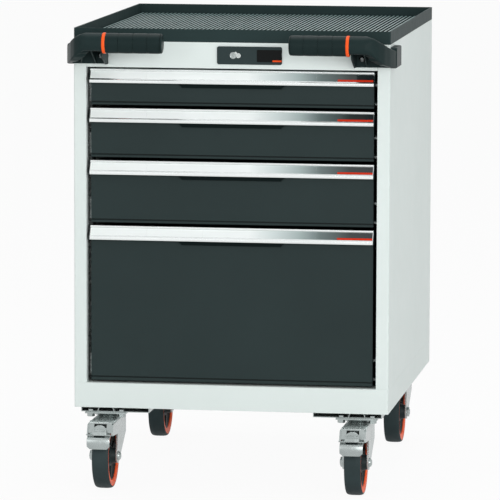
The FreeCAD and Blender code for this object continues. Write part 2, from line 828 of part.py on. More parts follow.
def tyre(x, y):
    """Solid rubber tyre, moulded over the flats of the rim."""
    axle_y = y - caster_trail
    half = wheel_width / 2
    ring = rod_x(wheel_radius, x - half, x + half, axle_y, axle_z)
    return ring.cut(prism_x(rim_outline(axle_y), x - half - past, x + half + past))


def wheel_core(x, y):
    """Wheel centre, set back from the tyre's sides, with the hub that runs on the axle."""
    axle_y = y - caster_trail
    half = rim_width / 2
    disc = prism_x(rim_outline(axle_y), x - half, x + half)
    half = hub_width / 2
    hub = prism_x(ring_points(hub_flat_count, hub_radius, axle_y, axle_z), x - half, x + half)
    bore = rod_x(axle_radius + axle_clearance, x - hub_width, x + hub_width, axle_y, axle_z)
    return disc.fuse(hub).cut(bore)


def brake_pedal(x, y):
    """Pedal: lever that hooks over the fork's pin and runs above the tyre, wings and the toe plate."""
    t = pedal_sheet
    slot = pedal_pin_radius + pedal_pin_clearance
    hook = slot + t
    pin = pedal_pin_reach
    level = pedal_pin_drop

    def spots(pairs):
        """From (reach, drop) pairs to (y, z) points."""
        return [(y - reach, -drop) for reach, drop in pairs]

    lever = spots([
        (pin + hook, level), (pin + hook, level - hook), (pin - slot, level - hook),
        (pin - hook, level - slot), (pin - hook, level + slot), (pin - slot, level + slot),
        (pin - slot, level - slot),
        (pin + slot, level - slot), (pin + slot, level + t), (pedal_knee_reach, pedal_knee_drop),
        (pedal_toe_reach, pedal_toe_top), (pedal_toe_reach, pedal_toe_top - t),
        (pedal_knee_reach, pedal_knee_drop - t),
    ])
    half = pedal_lever_width / 2
    pedal = prism_x(lever, x - half, x + half)
    half = pedal_toe_width / 2
    corner = pedal_toe_corner
    foot = -pedal_toe_bottom
    head = -pedal_toe_top + t
    toe = [(x - half, head), (x - half, foot + corner), (x - half + corner, foot),
           (x + half - corner, foot), (x + half, foot + corner), (x + half, head)]
    toe = prism_y(toe, y - pedal_toe_reach, y - pedal_toe_reach + t)
    knee = pedal_knee_reach
    tip = knee + pedal_wing_length
    wing = spots([(knee, pedal_knee_drop - t), (tip, pedal_knee_drop), (tip, pedal_knee_drop + t),
                  (knee, pedal_knee_drop)])
    half = pedal_wing_width / 2
    return pedal.fuse([toe, prism_x(wing, x - half, x + half)]).removeSplitter()


# Assembly

def build_nodes():
    nodes = {}
    panel = side_panel()
    nodes["right_side_panel"] = panel
    nodes["left_side_panel"] = mirrored(panel)
    nodes["rear_panel"] = rear_panel()
    nodes["top_panel"] = top_panel()
    nodes["base_pan"] = base_pan()
    nodes["top_tray"] = top_tray()
    nodes["tray_mat"] = tray_mat()
    nodes["runner_uprights"] = uprights()
    rails = []
    for number, (bottom, pitch) in enumerate(zip(front_bottoms(), front_pitches), start=1):
        z = bottom + runner_rise
        top = bottom + pitch - front_gap
        rails += paired(cabinet_rail(z))
        nodes["middle_rails_%d" % number] = Part.makeCompound(paired(middle_rail(z)))
        nodes["drawer_box_%d" % number] = drawer_box(bottom, pitch)
        nodes["drawer_front_%d" % number] = drawer_front(bottom, pitch)
        nodes["handle_rail_%d" % number] = handle_rail(top)
        nodes["rail_caps_%d" % number] = rail_caps(top)
        nodes["catch_bar_%d" % number] = catch_bar(top)
    nodes["cabinet_rails"] = Part.makeCompound(rails)
    nodes["lock_fascia"] = lock_fascia()
    nodes["lock_rotor"] = lock_rotor()
    nodes["lock_cover"] = lock_cover()
    nodes["handle_arms"] = Part.makeCompound(paired(handle_arm()))
    nodes["handle_grips"] = grips()
    nodes["grip_rings"] = grip_rings()
    nodes["caster_channels"] = caster_channels()
    nodes["caster_plates"] = caster_plates()
    nodes["caster_bolts"] = caster_bolts()
    for name, x, y, braked in caster_places():
        nodes["caster_fork_" + name] = caster_fork(x, y, braked)
        nodes["caster_axle_" + name] = caster_axle(x, y)
        nodes["tyre_" + name] = tyre(x, y)
        nodes["wheel_core_" + name] = wheel_core(x, y)
        if braked:
            nodes["brake_pedal_" + name] = brake_pedal(x, y)
    return nodes


def main():
    os.makedirs("parts", exist_ok=True)
    shift = Vector(0, front_plane, caster_height)
    for name, shape in sorted(build_nodes().items()):
        placed = shape.translated(shift)
        placed.exportStep("parts/%s.step" % name)
        print("%-28s solids %2d volume %12.0f valid %s"
              % (name, len(placed.Solids), placed.Volume, placed.isValid()))


main()
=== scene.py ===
"""Looks of a rolling tool cabinet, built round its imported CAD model.

Shapes are written in carcass millimetres: y = 0 is the front of the carcass and z = 0 its underside.
"""
import math

import bmesh
import bpy
from mathutils import Matrix, Vector


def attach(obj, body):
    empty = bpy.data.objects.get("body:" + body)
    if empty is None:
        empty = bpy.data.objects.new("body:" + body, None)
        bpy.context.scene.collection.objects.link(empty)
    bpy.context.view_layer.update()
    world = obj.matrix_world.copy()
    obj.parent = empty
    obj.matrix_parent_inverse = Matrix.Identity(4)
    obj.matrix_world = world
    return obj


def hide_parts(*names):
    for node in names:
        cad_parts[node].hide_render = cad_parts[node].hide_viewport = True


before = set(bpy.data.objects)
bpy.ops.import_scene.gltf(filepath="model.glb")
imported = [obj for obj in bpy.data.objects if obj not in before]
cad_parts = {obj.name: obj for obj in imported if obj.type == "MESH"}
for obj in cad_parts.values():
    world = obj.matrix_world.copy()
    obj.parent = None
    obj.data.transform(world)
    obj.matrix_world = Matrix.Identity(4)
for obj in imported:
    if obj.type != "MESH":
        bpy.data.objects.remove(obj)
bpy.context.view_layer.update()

MM = 0.001
FRONT_PLANE = -318.7            # y of the carcass front in the row frame, mm
CASTER_HEIGHT = 155.0           # z of its underside

HALF_WIDTH = 302.5
BODY_DEPTH = 725.0
BODY_HEIGHT = 703.0
FRONT_HALF = 271.0              # half the width of a drawer front
FRONT_TOPS = (648.5, 573.5, 473.5, 348.5)
FRONT_BOTTOMS = (577.0, 477.0, 352.0, 52.0)
FRONT_LIFTS = (3.9, 3.9, 3.9, 0.0)      # lower edges above FRONT_BOTTOMS, as in the photograph
GROOVE_RISES = (8.0, 8.0, 8.0, 5.4)     # grooves above FRONT_BOTTOMS
FRONT_RECESS = 9.0              # from the carcass front back to the faces of the drawer fronts
RAIL_RISE = 2.1                 # crest of a pull rail above the top edge of its front

# x and y of the swivel pivots, and whether a brake is there
CASTERS = {
    "front_left": (-242.0, 45.0, True),
    "front_right": (242.0, 45.0, True),
    "rear_left": (-242.0, 680.0, False),
    "rear_right": (242.0, 680.0, False),
}
AXLE_Z = -92.5
TRAIL = 45.0                    # from the pivot forward to the axle
FORK_TOP = -19.0
FORK_REAR = 38.0                # from the pivot back to the rear edge of the fork
FORK_FRONT = 52.0               # from the pivot forward to the front edge
BRAKED_FRONT = 91.0             # the same for a fork with a brake


def spot(x, y, z):
    """Place in the row frame, in metres, of a point in carcass millimetres."""
    return Vector((x, y + FRONT_PLANE, z + CASTER_HEIGHT)) * MM


# Materials

def socket_link(tree, output, entry):
    tree.links.new(output, entry)


def finish(name, color, rough, metal=0.0, coat=0.0, grain=900.0, bump=0.15, depth=0.0002, tint=0.06,
           patch=9.0, rough_span=0.08, stretch=(1.0, 1.0, 1.0), gloss=0.5):
    """Procedural finish: soft tint patches, fine grain in the bump and a roughness that wanders a little."""
    mat = bpy.data.materials.new(name)
    mat.use_nodes = True
    tree = mat.node_tree
    nodes = tree.nodes
    shader = nodes["Principled BSDF"]
    shader.inputs["Metallic"].default_value = metal
    shader.inputs["Specular IOR Level"].default_value = gloss
    shader.inputs["Coat Weight"].default_value = coat
    shader.inputs["Coat Roughness"].default_value = 0.08
    coords = nodes.new("ShaderNodeTexCoord")
    mapping = nodes.new("ShaderNodeMapping")
    mapping.inputs["Scale"].default_value = stretch
    socket_link(tree, coords.outputs["Object"], mapping.inputs["Vector"])

    fine = nodes.new("ShaderNodeTexNoise")
    fine.inputs["Scale"].default_value = grain
    fine.inputs["Detail"].default_value = 3.0
    socket_link(tree, mapping.outputs["Vector"], fine.inputs["Vector"])
    relief = nodes.new("ShaderNodeBump")
    relief.inputs["Strength"].default_value = bump
    relief.inputs["Distance"].default_value = depth
    socket_link(tree, fine.outputs["Fac"], relief.inputs["Height"])
    socket_link(tree, relief.outputs["Normal"], shader.inputs["Normal"])

    broad = nodes.new("ShaderNodeTexNoise")
    broad.inputs["Scale"].default_value = patch
    broad.inputs["Detail"].default_value = 4.0
    socket_link(tree, mapping.outputs["Vector"], broad.inputs["Vector"])
    ramp = nodes.new("ShaderNodeValToRGB")
    ramp.color_ramp.elements[0].position = 0.3
    ramp.color_ramp.elements[1].position = 0.7
    ramp.color_ramp.elements[0].color = tuple(c * (1 - tint) for c in color) + (1.0,)
    ramp.color_ramp.elements[1].color = tuple(min(1.0, c * (1 + tint)) for c in color) + (1.0,)
    socket_link(tree, broad.outputs["Fac"], ramp.inputs["Fac"])
    socket_link(tree, ramp.outputs["Color"], shader.inputs["Base Color"])

    span = nodes.new("ShaderNodeMapRange")
    span.inputs["From Min"].default_value = 0.3
    span.inputs["From Max"].default_value = 0.7
    span.inputs["To Min"].default_value = max(0.02, rough - rough_span)
    span.inputs["To Max"].default_value = rough + rough_span
    mid = nodes.new("ShaderNodeTexNoise")
    mid.inputs["Scale"].default_value = patch * 6
    mid.inputs["Detail"].default_value = 5.0
    socket_link(tree, mapping.outputs["Vector"], mid.inputs["Vector"])
    socket_link(tree, mid.outputs["Fac"], span.inputs["Value"])
    socket_link(tree, span.outputs["Result"], shader.inputs["Roughness"])
    return mat


BODY = finish("body_coat", (0.745, 0.815, 0.790), 0.45, tint=0.012, patch=4.0, rough_span=0.05, gloss=0.3)
DRAWER = finish("drawer_coat", (0.021, 0.034, 0.034), 0.45, patch=5.0, bump=0.12, gloss=0.12)
FRONT = finish("front_coat", (0.021, 0.034, 0.034), 0.45, patch=5.0, bump=0.12, gloss=0.12)
ALUMINIUM = finish("aluminium", (0.76, 0.795, 0.79), 0.24, metal=1.0, grain=420.0, bump=0.06, tint=0.04,
                   stretch=(0.02, 1.0, 1.0), patch=60.0, rough_span=0.05)
PLASTIC = finish("black_plastic_grain", (0.013, 0.024, 0.024), 0.34, grain=1500.0, bump=0.10,
                 rough_span=0.03, gloss=0.055)
BRACKET = finish("bracket_plastic_grain", (0.016, 0.029, 0.029), 0.38, grain=1500.0, bump=0.06,
                 rough_span=0.02, gloss=0.05)
CATCH = finish("catch_plastic", (0.005, 0.010, 0.010), 0.5, grain=1500.0, bump=0.1, gloss=0.03)
TRAY = finish("tray_plastic", (0.026, 0.044, 0.044), 0.45, grain=1300.0, bump=0.12, tint=0.04,
              rough_span=0.02, gloss=0.025)
FASCIA = finish("fascia_plastic", (0.031, 0.046, 0.047), 0.48, grain=1400.0, bump=0.12, tint=0.05, gloss=0.06)
ORANGE = finish("orange_plastic_grain", (1.0, 0.115, 0.020), 0.42, grain=1200.0, bump=0.1, tint=0.04,
                gloss=0.12)
# Mat rubber in two colours: the rib tops lighter as a painted highlight, the grooves and rib sides near black
# as painted shade.
RIB_TOP_PAINTED_HIGHLIGHT = finish("rib_rubber_painted_highlight", (0.160, 0.240, 0.235), 0.42, grain=1400.0, bump=0.12, tint=0.10, gloss=0.24)
RIB_SIDE_PAINTED_SHADE = finish("groove_rubber_painted_shade", (0.004, 0.008, 0.008), 0.9, grain=1400.0, bump=0.2, tint=0.15, gloss=0.0)
ZINC = finish("zinc_plate", (0.38, 0.42, 0.415), 0.27, metal=0.9, grain=500.0, bump=0.02, tint=0.12,
              patch=26.0, rough_span=0.04)
COVER = finish("bright_zinc", (0.50, 0.54, 0.53), 0.24, metal=1.0, grain=700.0, bump=0.05, tint=0.12,
               patch=70.0)
SCREW = finish("black_screw", (0.14, 0.15, 0.15), 0.28, metal=1.0, bump=0.1, tint=0.1)
TYRE = finish("tyre_rubber_skin", (0.034, 0.050, 0.052), 0.55, grain=800.0, tint=0.15, patch=20.0, gloss=0.1)
CORE = finish("core_plastic_skin", (0.018, 0.027, 0.028), 0.42, grain=1200.0, bump=0.1, tint=0.08, gloss=0.12)
GLOSS = finish("gloss_plate", (0.004, 0.005, 0.005), 0.12, grain=300.0, bump=0.03, tint=0.1,
               rough_span=0.03, gloss=0.12)
MARK = finish("mark_print", (0.90, 0.085, 0.010), 0.40, bump=0.04, tint=0.04, gloss=0.1)
STRIPE = finish("stripe_print", (0.66, 0.030, 0.006), 0.40, bump=0.04, tint=0.04, gloss=0.1)


def darken_beyond(mat, axis, start, end, share):
    """Multiply the colour by share beyond a place on an axis, fading in from start to end."""
    tree = mat.node_tree
    nodes = tree.nodes
    split = nodes.new("ShaderNodeSeparateXYZ")
    socket_link(tree, nodes["Texture Coordinate"].outputs["Object"], split.inputs["Vector"])
    place = nodes.new("ShaderNodeMapRange")
    place.inputs["From Min"].default_value = start
    place.inputs["From Max"].default_value = end
    place.inputs["To Min"].default_value = 1.0
    place.inputs["To Max"].default_value = share
    socket_link(tree, split.outputs[axis], place.inputs["Value"])
    scale = nodes.new("ShaderNodeVectorMath")
    scale.operation = "SCALE"
    socket_link(tree, nodes["Color Ramp"].outputs["Color"], scale.inputs[0])
    socket_link(tree, place.outputs["Result"], scale.inputs["Scale"])
    socket_link(tree, scale.outputs["Vector"], nodes["Principled BSDF"].inputs["Base Color"])


# Painted shade: the fronts' colour is darkened behind their faces, in the grooves and on the side folds,
# where shade falls.
GROOVE_PAINTED_SHADE = 0.3
GROOVE_START, GROOVE_END = -0.3095, -0.3090     # y in the row frame, m, just behind the fronts' faces
darken_beyond(FRONT, "Y", GROOVE_START, GROOVE_END, GROOVE_PAINTED_SHADE)


# place across the label as a share of its width, and level of the tone there
LABEL_TONES = ((0.10, 0.98), (0.56, 0.97), (0.65, 0.74), (0.74, 0.46), (0.815, 0.17), (0.92, 0.03))
LABEL_TEAL = 0.26               # share of red that the darker tones lose


def label_film():
    """Clear film over a printed tone that runs from pale at the left to nearly black at the right end."""
    mat = finish("label_film", (0.95, 0.97, 0.96), 0.20, coat=0.2, grain=260.0, bump=0.03, tint=0.02,
                 rough_span=0.03)
    tree = mat.node_tree
    nodes = tree.nodes
    split = nodes.new("ShaderNodeSeparateXYZ")
    socket_link(tree, nodes["Texture Coordinate"].outputs["Object"], split.inputs["Vector"])
    place = nodes.new("ShaderNodeMapRange")
    place.inputs["From Min"].default_value = -FRONT_HALF * MM
    place.inputs["From Max"].default_value = FRONT_HALF * MM
    socket_link(tree, split.outputs["X"], place.inputs["Value"])
    tone = nodes.new("ShaderNodeValToRGB")
    stops = tone.color_ramp.elements
    stops[0].position = 0.0
    stops[0].color = (0.93, 0.97, 0.95, 1.0)
    stops[1].position = 1.0
    stops[1].color = (0.010, 0.015, 0.017, 1.0)
    for position, level in LABEL_TONES:
        teal = LABEL_TEAL * (1.0 - level)
        stop = stops.new(position)
        stop.color = (level * (0.97 - teal), level, level * 0.99, 1.0)
    socket_link(tree, place.outputs["Result"], tone.inputs["Fac"])
    grime = nodes.new("ShaderNodeMix")
    grime.data_type = "RGBA"
    grime.blend_type = "MULTIPLY"
    grime.inputs["Factor"].default_value = 0.35
    socket_link(tree, tone.outputs["Color"], grime.inputs["A"])
    socket_link(tree, nodes["Color Ramp"].outputs["Color"], grime.inputs["B"])
    socket_link(tree, grime.outputs["Result"], nodes["Principled BSDF"].inputs["Base Color"])
    return mat


LABEL = label_film()


# Mesh building

def arc(u, v, radius, start, end, steps):
    """Points of an arc round (u, v), in degrees."""
    turns = [math.radians(start + (end - start) * i / steps) for i in range(steps + 1)]
    return [(u + radius * math.cos(t), v + radius * math.sin(t)) for t in turns]


SAME_POINT = 0.000002           # m, distance within which points are joined


class Shape:
    """Collects closed skins, in carcass millimetres, for one piece."""

    def __init__(self):
        self.points = []
        self.faces = []
        self.groups = []

    def skin(self, points, faces):
        """Add points and faces; groups holds the material number of each face."""
        base = len(self.points)
        self.points += [tuple(p) for p in points]
        self.faces += [tuple(base + i for i in f) for f in faces]
        self.groups += [0] * len(faces)
        return self

    def loft(self, rings, closed=False):
        """Skin over rings with equally many points; the ends are capped, or joined where closed."""
        size = len(rings[0])
        points = [p for ring in rings for p in ring]
        faces = []
        count = len(rings)
        for i in range(count if closed else count - 1):
            for j in range(size):
                k = (j + 1) % size
                n = (i + 1) % count
                faces.append((i * size + j, i * size + k, n * size + k, n * size + j))
        if not closed:
            faces.append(tuple(range(size))[::-1])
            faces.append(tuple((count - 1) * size + j for j in range(size)))
        return self.skin(points, faces)

    def along_x(self, outline, x0, x1):
        return self.loft([[(x, y, z) for y, z in outline] for x in (x0, x1)])

    def along_y(self, outline, y0, y1):
        return self.loft([[(x, y, z) for x, z in outline] for y in (y0, y1)])

    def along_z(self, outline, z0, z1):
        return self.loft([[(x, y, z) for x, y in outline] for z in (z0, z1)])

    def block(self, x0, x1, y0, y1, z0, z1):
        return self.along_x([(y0, z0), (y1, z0), (y1, z1), (y0, z1)], x0, x1)

    def lathe(self, outline, centre, axis="x", steps=72, closed=False):
        """Turn an outline of (place along the axis, radius) round the axis through centre."""
        cx, cy, cz = centre
        rings = []
        for along, radius in outline:
            ring = []
            for i in range(steps):
                a = 2 * math.pi * i / steps
                u, v = radius * math.cos(a), radius * math.sin(a)
                if axis == "x":
                    ring.append((cx + along, cy + u, cz + v))
                elif axis == "y":
                    ring.append((cx + u, cy + along, cz + v))
                else:
                    ring.append((cx + u, cy + v, cz + along))
            rings.append(ring)
        return self.loft(rings, closed)

    def mirror(self):
        """Add the mirror image across the middle plane."""
        return self.skin([(-x, y, z) for x, y, z in self.points], [f[::-1] for f in self.faces])

    def piece(self, name, body, slot, materials, replaces=(), bevel=0.0, angle=32, thick=0.0):
        """Make the object, round its edges, give a single skin its thickness, and hang it on its body."""
        mesh = bpy.data.meshes.new(name)
        mesh.from_pydata([spot(*p) for p in self.points], [], self.faces)
        for mat in materials:
            mesh.materials.append(mat)
        for polygon, group in zip(mesh.polygons, self.groups):
            polygon.material_index = group
        work = bmesh.new()
        work.from_mesh(mesh)
        bmesh.ops.remove_doubles(work, verts=work.verts, dist=SAME_POINT)
        bmesh.ops.dissolve_degenerate(work, edges=work.edges, dist=SAME_POINT)
        bmesh.ops.recalc_face_normals(work, faces=work.faces)
        work.to_mesh(mesh)
        work.free()
        obj = bpy.data.objects.new(name, mesh)
        bpy.context.scene.collection.objects.link(obj)
        if thick:
            solid = obj.modifiers.new("sheet", "SOLIDIFY")
            solid.thickness = thick * MM
            solid.offset = 0.0
            solid.use_even_offset = True
        dress(obj, bevel, angle=angle)
        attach(obj, body)
        if replaces:
            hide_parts(*replaces)


def dress(obj, bevel, segments=2, angle=32):
    """Smooth shading, with the edges sharper than the angle rounded off."""
    mesh = obj.data
    mesh.shade_smooth()
    if bevel:
        edges = obj.modifiers.new("edges", "BEVEL")
        edges.width = bevel * MM
        edges.segments = segments
        edges.limit_method = "ANGLE"
        edges.angle_limit = math.radians(angle)
        edges.use_clamp_overlap = True
        even = obj.modifiers.new("shading", "WEIGHTED_NORMAL")
        even.keep_sharp = True
    else:
        mesh.set_sharp_from_angle(angle=math.radians(angle))


NODE_WELD = 0.000005            # m


def dress_node(name, material, bevel, segments=2):
    """Finish for a CAD node in view: its split triangles are welded before its edges are rounded."""
    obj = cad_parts[name]
    mesh = obj.data
    if "custom_normal" in mesh.attributes:
        mesh.attributes.remove(mesh.attributes["custom_normal"])
    for place in obj.material_slots:
        place.material = material
    weld = obj.modifiers.new("weld", "WELD")
    weld.merge_threshold = NODE_WELD
    flat = obj.modifiers.new("flat", "DECIMATE")
    flat.decimate_type = "DISSOLVE"
    flat.angle_limit = math.radians(0.5)
    for edge in mesh.edges:
        edge.use_edge_sharp = False
    dress(obj, bevel, segments)


# CAD nodes that stay in view

for name in ("base_pan", "left_side_panel", "right_side_panel", "rear_panel", "top_panel"):
    dress_node(name, BODY, 0.6)
dress_node("top_tray", TRAY, 1.2, 3)
for name in ("runner_uprights", "cabinet_rails", "caster_channels", "caster_plates", "caster_bolts",
             "lock_rotor"):
    dress_node(name, ZINC, 0.25)
dress_node("lock_fascia", FASCIA, 0.5)
dress_node("lock_cover", COVER, 0.25)
for k in (1, 2, 3, 4):
    dress_node("middle_rails_%d" % k, ZINC, 0.25)
    dress_node("drawer_box_%d" % k, DRAWER, 0.3)
    dress_node("catch_bar_%d" % k, CATCH, 0.5)


# Ribbed mat

def ribbed_mat():
    """Sheet of rubber with ribs from front to back; their tops are worn smoother than the grooves and
    coloured lighter as a painted highlight, the grooves and rib sides near black as painted shade.
    """
    inset = 4.0                 # from the sides of the carcass
    half = HALF_WIDTH - inset
    floor = BODY_HEIGHT + 3.0
    low = floor + 0.9
    top = floor + 3.0
    pitch = 8.5
    rib = [(-2.3, low), (-1.9, top - 0.4), (-1.5, top), (1.5, top), (1.9, top - 0.4), (2.3, low)]
    count = int(2 * half / pitch)
    start = -count * pitch / 2
    outline = [(half, floor), (-half, floor), (-half, low)]
    for i in range(count):
        middle = start + (i + 0.5) * pitch
        outline += [(middle + x, z) for x, z in rib]
    outline.append((half, low))
    shape = Shape().along_y(outline, inset, BODY_DEPTH - inset)
    # faces below the rib tops take the near-black groove colour, a painted shade
    for j in range(len(outline)):
        levels = (outline[j][1], outline[(j + 1) % len(outline)][1])
        if min(levels) < top - 0.5:
            shape.groups[j] = 1
    shape.groups[-2:] = [1, 1]
    shape.piece("mat_ribs", "cabinet", "mat_rubber", [RIB_TOP_PAINTED_HIGHLIGHT, RIB_SIDE_PAINTED_SHADE], replaces=("tray_mat",), angle=50)


ribbed_mat()


# Pull rails

def rail_front(top):
    """Front of the pull from its back edge over the crest and the label face to the lip, as (y, z)."""
    crest = 4.5
    lip = -5.0
    points = [(FRONT_RECESS, top)]
    points += arc(crest + 1.9, top - 1.9, 1.9, 90, 180, 5)
    points += [(crest, top - 3.4), (crest + 0.3, top - 4.0), (crest + 1.6, top - 4.7)]
    points += [(lip + 2.2, top - 18.6)]
    points += [(lip + 0.9, top - 20.0), (lip + 0.2, top - 21.2), (lip, top - 22.4)]
    points += arc(lip + 1.4, top - 25.6, 1.4, 180, 270, 4)
    return points


def pull_rail(k, top):
    """Extruded rail, its two end caps, the label film in windows side by side, and the stripe on it."""
    drawer = "drawer_%d" % k
    hollow = [(-1.6, top - 25.6), (-1.6, top - 22.0), (0.6, top - 18.6), (6.8, top - 7.6), (6.8, top - 24.0),
              (FRONT_RECESS, top - 24.0)]
    half = FRONT_HALF + 0.6
    cap_thickness = 1.5
    rail = Shape().along_x(rail_front(top) + hollow, -half, half)
    rail.piece("pull_rail_%d" % k, drawer, "rail_aluminium", [ALUMINIUM], replaces=("handle_rail_%d" % k,),
               angle=40)

    outline = rail_front(top) + [(FRONT_RECESS, top - 27.0)]
    caps = Shape().along_x(outline, half, half + cap_thickness).mirror()
    caps.piece("pull_caps_%d" % k, drawer, "black_plastic", [PLASTIC], replaces=("rail_caps_%d" % k,),
               bevel=0.4)

    film = 0.25
    upper = Vector((6.0, top - 5.0))
    lower = Vector((-2.7, top - 18.3))
    out = Vector((lower.y - upper.y, upper.x - lower.x)).normalized() * film
    outline = [tuple(upper), tuple(lower), tuple(lower + out), tuple(upper + out)]
    windows = 5
    gap = 0.08
    width = 2 * (half - 1.0) / windows
    label = Shape()
    for i in range(windows):
        left = -(half - 1.0) + i * width
        label.along_x(outline, left + gap, left + width - gap)
    label.piece("label_windows_%d" % k, drawer, "rail_aluminium", [LABEL])

    stripe_left = 203.0
    stripe_top = 0.74           # share of the way down the label
    a = upper.lerp(lower, stripe_top) + out * 1.02
    b = lower + out * 1.02
    raised = out * 0.4
    outline = [tuple(a), tuple(b), tuple(b + raised), tuple(a + raised)]
    stripe = Shape().along_x(outline, stripe_left, half - 1.2)
    stripe.piece("label_stripe_%d" % k, drawer, "orange_plastic", [STRIPE])


for k, top in enumerate(FRONT_TOPS, start=1):
    pull_rail(k, top + RAIL_RISE)


# Drawer fronts

def front_panel(k, bottom, top):
    """Folded front with its groove; the lower edge is set to the height that the photograph shows."""
    low = bottom + FRONT_LIFTS[k - 1]
    groove = bottom + GROOVE_RISES[k - 1]
    groove_depth = 1.2
    groove_height = 3.0
    near = FRONT_RECESS
    far = FRONT_RECESS + 15.0
    floor = near + groove_depth
    sheet = 1.5
    edge = 1.0                  # radius of the upper and the lower edge
    outline = [(far, low)] + arc(near + edge, low + edge, edge, 270, 180, 4)
    outline += [(near, groove), (floor, groove + groove_depth), (floor, groove + groove_height),
                (near, groove + groove_height)]
    outline += arc(near + edge, top - edge, edge, 180, 90, 4)
    outline += [(far, top), (far, top - sheet), (near + sheet, top - sheet), (near + sheet, low + sheet),
                (far, low + sheet)]
    shape = Shape().along_x(outline, -FRONT_HALF, FRONT_HALF)
    inset = 0.6                 # of the side folds from the edges
    sides = Shape().block(FRONT_HALF - sheet, FRONT_HALF - 0.15, near + inset, far, low + inset, top - inset)
    sides.mirror()
    shape.skin(sides.points, sides.faces)
    shape.piece("front_panel_%d" % k, "drawer_%d" % k, "drawer_paint", [FRONT],
                replaces=("drawer_front_%d" % k,), bevel=0.4, angle=44)


def catch_foot(k, top):
    """Lower edge of the catch bar, which the photograph shows 2 mm further below the rail."""
    half = 96.0
    shape = Shape().block(-half, half, 2.8, 6.2, top - 32.7, top - 29.5)
    shape.piece("catch_foot_%d" % k, "catch_%d" % k, "black_plastic", [CATCH], bevel=0.4)


for k, (bottom, top) in enumerate(zip(FRONT_BOTTOMS, FRONT_TOPS), start=1):
    front_panel(k, bottom, top)
    catch_foot(k, top)


# Lock and fascia details

def fascia_details():
    """Glossy bare plate with its orange mark, and the rim round the lock."""
    left, right, low, high = 49.2, 97.0, 667.2, 690.2
    corner = 1.5
    outline = []
    for x, z, start in ((right - corner, high - corner, 0), (left + corner, high - corner, 90),
                        (left + corner, low + corner, 180), (right - corner, low + corner, 270)):
        outline += arc(x, z, corner, start, start + 90, 4)
    plate = Shape().along_y(outline, -3.7, -2.9)
    plate.piece("fascia_plate", "cabinet", "black_plastic", [GLOSS], bevel=0.25)
    mark = Shape().block(79.2, 96.2, -3.85, -3.68, 667.8, 670.8)
    mark.piece("fascia_mark", "cabinet", "orange_plastic", [MARK])
    lock = (4.0, 0.0, 679.0)
    outline = [(-2.9, 5.15), (-3.3, 5.15), (-3.5, 5.4), (-3.5, 6.1), (-3.3, 6.4), (-2.9, 6.5)]
    bezel = Shape().lathe(outline, lock, axis="y", steps=64, closed=True)
    bezel.piece("lock_bezel", "cabinet", "zinc_steel", [ZINC], angle=50)


fascia_details()


# Push handles

GRIP_Y = -68.0
GRIP_Z = 704.0
GRIP_RADIUS = 19.0
BRACKET_INNER = 236.0           # x of the bracket's inner end
SIDE = 315.0                    # outer face of the bracket beside the carcass
PLATE_FOOT = 660.0
ROOF = 696.0

# outer face in plan (x, y), depth of the arm behind it, top, foot, radius of the top edges, of the foot edges
ARM_SECTIONS = (
    (264.0, -87.0, 38.0, 723.0, 689.0, 18.6, 12.0),
    (275.0, -84.2, 34.0, 722.4, 688.4, 12.5, 8.0),
    (282.0, -79.5, 30.0, 720.0, 684.0, 8.5, 5.0),
    (288.0, -74.0, 26.0, 716.4, 679.0, 6.0, 4.0),
    (293.0, -66.0, 22.0, 712.2, 674.2, 4.2, 3.0),
    (298.0, -57.0, 18.0, 707.6, 669.6, 3.2, 2.5),
    (302.0, -46.0, 14.0, 703.4, 666.6, 2.6, 2.0),
    (306.0, -35.0, 11.0, 699.5, 664.2, 2.3, 2.0),
    (309.0, -24.0, 9.0, 696.2, 662.3, 2.1, 2.0),
    (311.5, -14.0, 8.5, 694.0, 661.2, 2.0, 2.0),
    (314.6, 2.0, 8.5, 691.5, 660.0, 2.0, 2.0),
)


def arm_place(place):
    """Row of ARM_SECTIONS at a place between its rows, on a smooth curve through them."""
    rows = ARM_SECTIONS
    i = min(int(place), len(rows) - 2)
    t = place - i
    values = []
    row_before = rows[max(i - 1, 0)]
    row_after = rows[min(i + 2, len(rows) - 1)]
    for left, right, before, after in zip(rows[i], rows[i + 1], row_before, row_after):
        into = (right - before) / 2
        out = (after - left) / 2
        values.append((2 * t ** 3 - 3 * t ** 2 + 1) * left + (t ** 3 - 2 * t ** 2 + t) * into
                      + (3 * t ** 2 - 2 * t ** 3) * right + (t ** 3 - t ** 2) * out)
    return values


def arm_station(place):
    """Middle of the arm, its outward direction, and its section from half depth on."""
    step = 0.05
    last = len(ARM_SECTIONS) - 1
    x, y, depth, *section = arm_place(place)
    behind = arm_place(max(place - step, 0.0))
    ahead = arm_place(min(place + step, last))
    run = Vector((ahead[0] - behind[0], ahead[1] - behind[1], 0.0)).normalized()
    outward = Vector((run.y, -run.x, 0.0)) if place > 0 else Vector((0.0, -1.0, 0.0))
    return Vector((x, y, 0.0)) - outward * (depth / 2), outward, depth / 2, section


def arm_ring(middle, outward, half_depth, top, foot, top_radius, foot_radius, chords=8):
    """Outline of the arm at a station: a rectangle with rounded corners."""
    ring = []
    corners = ((1, top, top_radius, 0), (-1, top, top_radius, 90),
               (-1, foot, foot_radius, 180), (1, foot, foot_radius, 270))
    for side, level, radius, start in corners:
        radius = min(radius, half_depth - 0.05)
        inward = radius if level == top else -radius
        for chord in range(chords + 1):
            a = math.radians(start + 90 * chord / chords)
            across = side * (half_depth - radius) + radius * math.cos(a)
            p = middle + outward * across
            ring.append((p.x, p.y, level - inward + radius * math.sin(a)))
    return ring


def bracket_arm(shape):
    """Tube at the grip and the elbow that flattens into the side plate."""
    tube_places = (234.3, 250.0)
    steps = 4                   # rings from one row of ARM_SECTIONS to the next
    forward = Vector((0.0, -1.0, 0.0))
    first = ARM_SECTIONS[0][3:]
    rings = [arm_ring(Vector((x, GRIP_Y, 0.0)), forward, GRIP_RADIUS, *first) for x in tube_places]
    for step in range(steps * (len(ARM_SECTIONS) - 1) + 1):
        middle, outward, half_depth, section = arm_station(step / steps)
        rings.append(arm_ring(middle, outward, half_depth, *section))
    shape.loft(rings)


